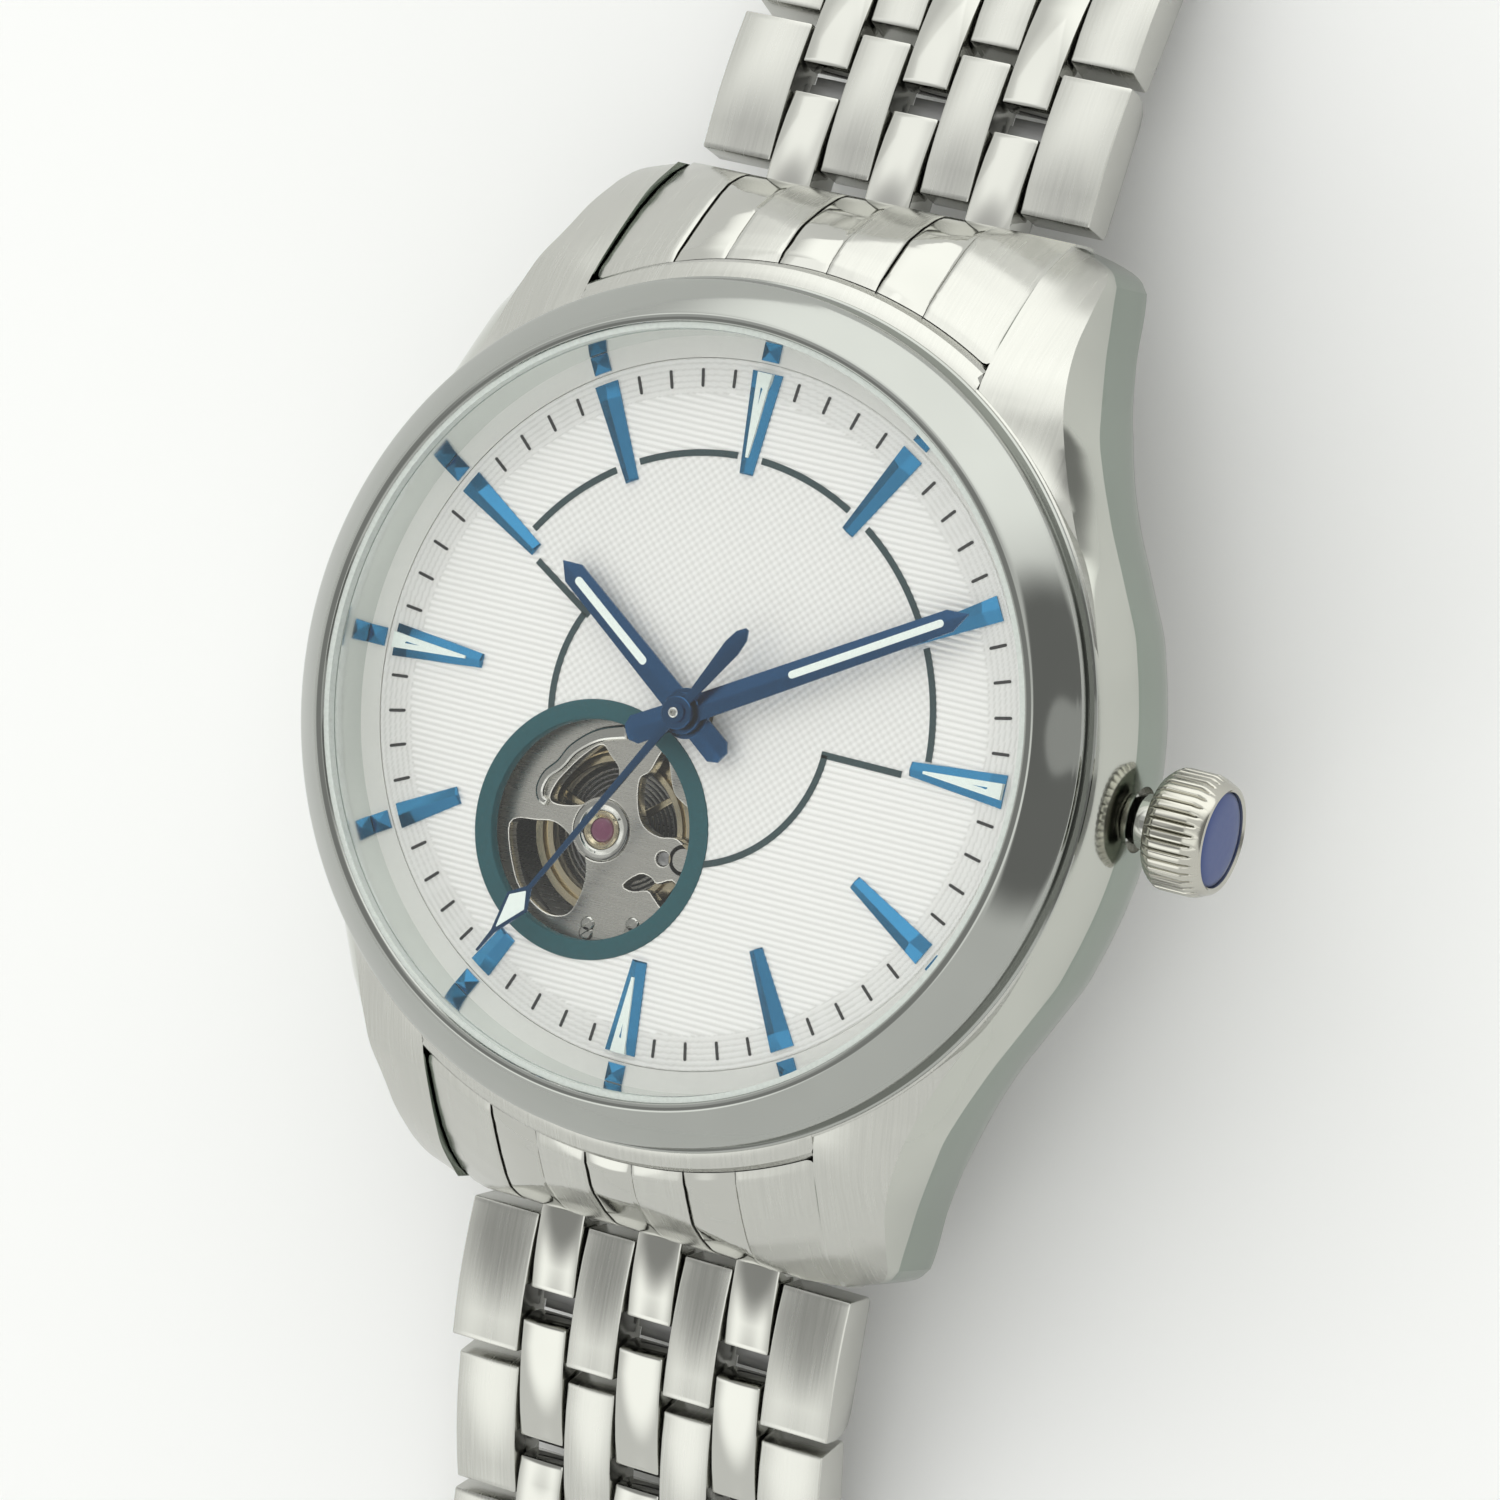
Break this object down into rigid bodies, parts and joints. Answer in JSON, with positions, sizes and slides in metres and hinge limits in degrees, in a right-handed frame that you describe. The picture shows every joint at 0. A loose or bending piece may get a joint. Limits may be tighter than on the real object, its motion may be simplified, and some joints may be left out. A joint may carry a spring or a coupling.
{
  "type": "open-heart automatic wristwatch",
  "caption": "Round steel wristwatch with a window in its dial showing the balance, blue baton hands and markers, a fluted crown and a jointed link bracelet.",
  "frame": {"origin": "centre of the case-back's outer face", "axes": "+Z from the case back to the crystal, +Y to 12 o'clock along the bracelet, +X to the crown"},
  "size_m": [0.045, 0.1618, 0.0207],
  "materials": {
    "steel": "brushed",
    "polished_steel": "polished",
    "crystal_glass": "clear",
    "dial_silver": "textured silver",
    "blue": "polished blue",
    "teal": "satin teal",
    "movement_metal": "satin",
    "brass": "gilt",
    "ruby": "clear ruby",
    "rubber": "matte",
    "spring_steel": "dark"
  },
  "bodies": {
    "head": {"case_middle": "steel", "bezel": "polished_steel", "crystal": "crystal_glass", "crystal_gasket": "rubber", "flange_ring": "dial_silver", "flange_studs": "blue", "dial": "dial_silver", "open_heart_ring": "teal", "hour_markers": "blue", "movement_ring": "movement_metal", "main_plate": "movement_metal", "train_bridge": "movement_metal", "balance_bridge": "movement_metal", "automatic_bridge": "movement_metal", "jewels": "ruby", "movement_screws": "movement_metal", "crown_tube": "steel", "case_back": "steel", "case_back_glass": "crystal_glass", "case_back_gasket": "rubber", "end_link_12": "steel", "end_link_6": "steel", "spring_bars": "steel"},
    "hour": {"hour_wheel": "brass", "hour_hand": "blue"},
    "minute": {"cannon_pinion": "brass", "minute_hand": "blue"},
    "minute_wheel": {"minute_wheel": "brass"},
    "fourth": {"fourth_wheel": "brass", "seconds_hand": "blue"},
    "third": {"third_wheel": "brass"},
    "centre": {"centre_wheel": "brass"},
    "barrel": {"mainspring_barrel": "brass"},
    "escape": {"escape_wheel": "movement_metal"},
    "fork": {"pallet_fork": "movement_metal"},
    "balance": {"balance_wheel": "brass", "hairspring": "spring_steel"},
    "rotor": {"rotor": "movement_metal"},
    "crown_seal": {"crown_gasket": "rubber"},
    "crown": {"crown": "polished_steel", "crown_cap": "blue", "winding_stem": "movement_metal"},
    "link_12_1": {"row_12_1": "steel"},
    "link_12_2": {"row_12_2": "steel"},
    "link_12_3": {"row_12_3": "steel"},
    "link_12_4": {"row_12_4": "steel"},
    "link_12_5": {"row_12_5": "steel"},
    "link_12_6": {"row_12_6": "steel"},
    "link_12_7": {"row_12_7": "steel"},
    "link_6_1": {"row_6_1": "steel"},
    "link_6_2": {"row_6_2": "steel"},
    "link_6_3": {"row_6_3": "steel"},
    "link_6_4": {"row_6_4": "steel"},
    "link_6_5": {"row_6_5": "steel"},
    "link_6_6": {"row_6_6": "steel"},
    "clasp": {"clasp_cover": "steel"},
    "outer_blade": {"clasp_outer_blade": "polished_steel"},
    "inner_blade": {"clasp_inner_blade": "polished_steel"},
    "button_left": {"clasp_button_left": "polished_steel"},
    "button_right": {"clasp_button_right": "polished_steel"}
  },
  "joints": [
    {"name": "minute_turn", "type": "hinge", "parent": "head", "child": "minute", "pos_m": [0, 0, 0.0116], "axis": [0, 0, 1], "continuous": true},
    {"name": "hour_turn", "type": "hinge", "parent": "head", "child": "hour", "pos_m": [0, 0, 0.01115], "axis": [0, 0, 1], "continuous": true},
    {"name": "minute_wheel_turn", "type": "hinge", "parent": "head", "child": "minute_wheel", "pos_m": [0.0026, 0.0015, 0.0095], "axis": [0, 0, 1], "continuous": true},
    {"name": "seconds_turn", "type": "hinge", "parent": "head", "child": "fourth", "pos_m": [0, 0, 0.0059], "axis": [0, 0, 1], "continuous": true},
    {"name": "third_turn", "type": "hinge", "parent": "head", "child": "third", "pos_m": [0.0037, 0.00365, 0.0054], "axis": [0, 0, 1], "continuous": true},
    {"name": "centre_turn", "type": "hinge", "parent": "head", "child": "centre", "pos_m": [-0.0005, 0.00615, 0.0062], "axis": [0, 0, 1], "continuous": true},
    {"name": "barrel_turn", "type": "hinge", "parent": "head", "child": "barrel", "pos_m": [-0.00557, 0.0038, 0.007], "axis": [0, 0, 1], "continuous": true},
    {"name": "escape_turn", "type": "hinge", "parent": "head", "child": "escape", "pos_m": [0.0024, -0.0044, 0.0066], "axis": [0, 0, 1], "continuous": true},
    {"name": "fork_swing", "type": "hinge", "parent": "head", "child": "fork", "pos_m": [0.0005, -0.00655, 0.0066], "axis": [0, 0, 1], "range_deg": [-6, 6]},
    {"name": "balance_swing", "type": "hinge", "parent": "head", "child": "balance", "pos_m": [-0.0038, -0.00615, 0.0076], "axis": [0, 0, 1], "range_deg": [-270, 270]},
    {"name": "rotor_turn", "type": "hinge", "parent": "head", "child": "rotor", "pos_m": [0, 0, 0.0032], "axis": [0, 0, 1], "continuous": true},
    {"name": "crown_pull", "type": "slide", "parent": "head", "child": "crown_seal", "axis": [1, 0, 0], "range_m": [0, 0.0012]},
    {"name": "crown_turn", "type": "hinge", "parent": "crown_seal", "child": "crown", "pos_m": [0, 0, 0.0065], "axis": [1, 0, 0], "continuous": true},
    {"name": "link_12_1_bend", "type": "hinge", "parent": "head", "child": "link_12_1", "pos_m": [0, 0.02295, 0.00125], "axis": [-1, 0, 0], "range_deg": [-15, 33]},
    {"name": "link_12_2_bend", "type": "hinge", "parent": "link_12_1", "child": "link_12_2", "pos_m": [0, 0.03009, -0.00027], "axis": [-1, 0, 0], "range_deg": [-17, 9]},
    {"name": "link_12_3_bend", "type": "hinge", "parent": "link_12_2", "child": "link_12_3", "pos_m": [0, 0.03691, -0.00288], "axis": [-1, 0, 0], "range_deg": [-3, 23]},
    {"name": "link_12_4_bend", "type": "hinge", "parent": "link_12_3", "child": "link_12_4", "pos_m": [0, 0.04392, -0.0049], "axis": [-1, 0, 0], "range_deg": [-1, 25.3]},
    {"name": "link_12_5_bend", "type": "hinge", "parent": "link_12_4", "child": "link_12_5", "pos_m": [0, 0.05114, -0.006], "axis": [-1, 0, 0], "range_deg": [-1, 26.7]},
    {"name": "link_12_6_bend", "type": "hinge", "parent": "link_12_5", "child": "link_12_6", "pos_m": [0, 0.05844, -0.006], "axis": [-1, 0, 0], "range_deg": [-8, 18]},
    {"name": "link_12_7_bend", "type": "hinge", "parent": "link_12_6", "child": "link_12_7", "pos_m": [0, 0.06574, -0.006], "axis": [-1, 0, 0], "range_deg": [-8, 18]},
    {"name": "link_6_1_bend", "type": "hinge", "parent": "head", "child": "link_6_1", "pos_m": [0, -0.02295, 0.0011], "axis": [1, 0, 0], "range_deg": [-15, 38.5]},
    {"name": "link_6_2_bend", "type": "hinge", "parent": "link_6_1", "child": "link_6_2", "pos_m": [0, -0.0302, 0.00027], "axis": [1, 0, 0], "range_deg": [-23.5, 2.5]},
    {"name": "link_6_3_bend", "type": "hinge", "parent": "link_6_2", "child": "link_6_3", "pos_m": [0, -0.03697, -0.00246], "axis": [1, 0, 0], "range_deg": [-2, 24]},
    {"name": "link_6_4_bend", "type": "hinge", "parent": "link_6_3", "child": "link_6_4", "pos_m": [0, -0.04399, -0.00447], "axis": [1, 0, 0], "range_deg": [-4.07, 21.93]},
    {"name": "link_6_5_bend", "type": "hinge", "parent": "link_6_4", "child": "link_6_5", "pos_m": [0, -0.05113, -0.006], "axis": [1, 0, 0], "range_deg": [-1, 30.07]},
    {"name": "link_6_6_bend", "type": "hinge", "parent": "link_6_5", "child": "link_6_6", "pos_m": [0, -0.05843, -0.006], "axis": [1, 0, 0], "range_deg": [-8, 18]},
    {"name": "clasp_bend", "type": "hinge", "parent": "link_12_7", "child": "clasp", "pos_m": [0, 0.07304, -0.006], "axis": [-1, 0, 0], "range_deg": [-8, 18]},
    {"name": "outer_blade_fold", "type": "hinge", "parent": "clasp", "child": "outer_blade", "pos_m": [0, 0.09424, -0.0054], "axis": [1, 0, 0], "range_deg": [0, 165]},
    {"name": "inner_blade_fold", "type": "hinge", "parent": "outer_blade", "child": "inner_blade", "pos_m": [0, 0.07764, -0.0054], "axis": [-1, 0, 0], "range_deg": [0, 165]},
    {"name": "button_left_press", "type": "slide", "parent": "clasp", "child": "button_left", "axis": [1, 0, 0], "range_m": [0, 0.0006], "stiffness_N_per_m": 300},
    {"name": "button_right_press", "type": "slide", "parent": "clasp", "child": "button_right", "axis": [-1, 0, 0], "range_m": [0, 0.0006], "stiffness_N_per_m": 300}
  ],
  "couplings": [
    {"joint": "hour_turn", "follows": "minute_turn", "ratio": 0.083333},
    {"joint": "minute_wheel_turn", "follows": "minute_turn", "ratio": -0.33333},
    {"joint": "third_turn", "follows": "seconds_turn", "ratio": -0.13333},
    {"joint": "centre_turn", "follows": "seconds_turn", "ratio": 0.016667},
    {"joint": "barrel_turn", "follows": "seconds_turn", "ratio": -0.0027778},
    {"joint": "escape_turn", "follows": "seconds_turn", "ratio": -12},
    {"joint": "inner_blade_fold", "follows": "outer_blade_fold", "ratio": 1}
  ]
}
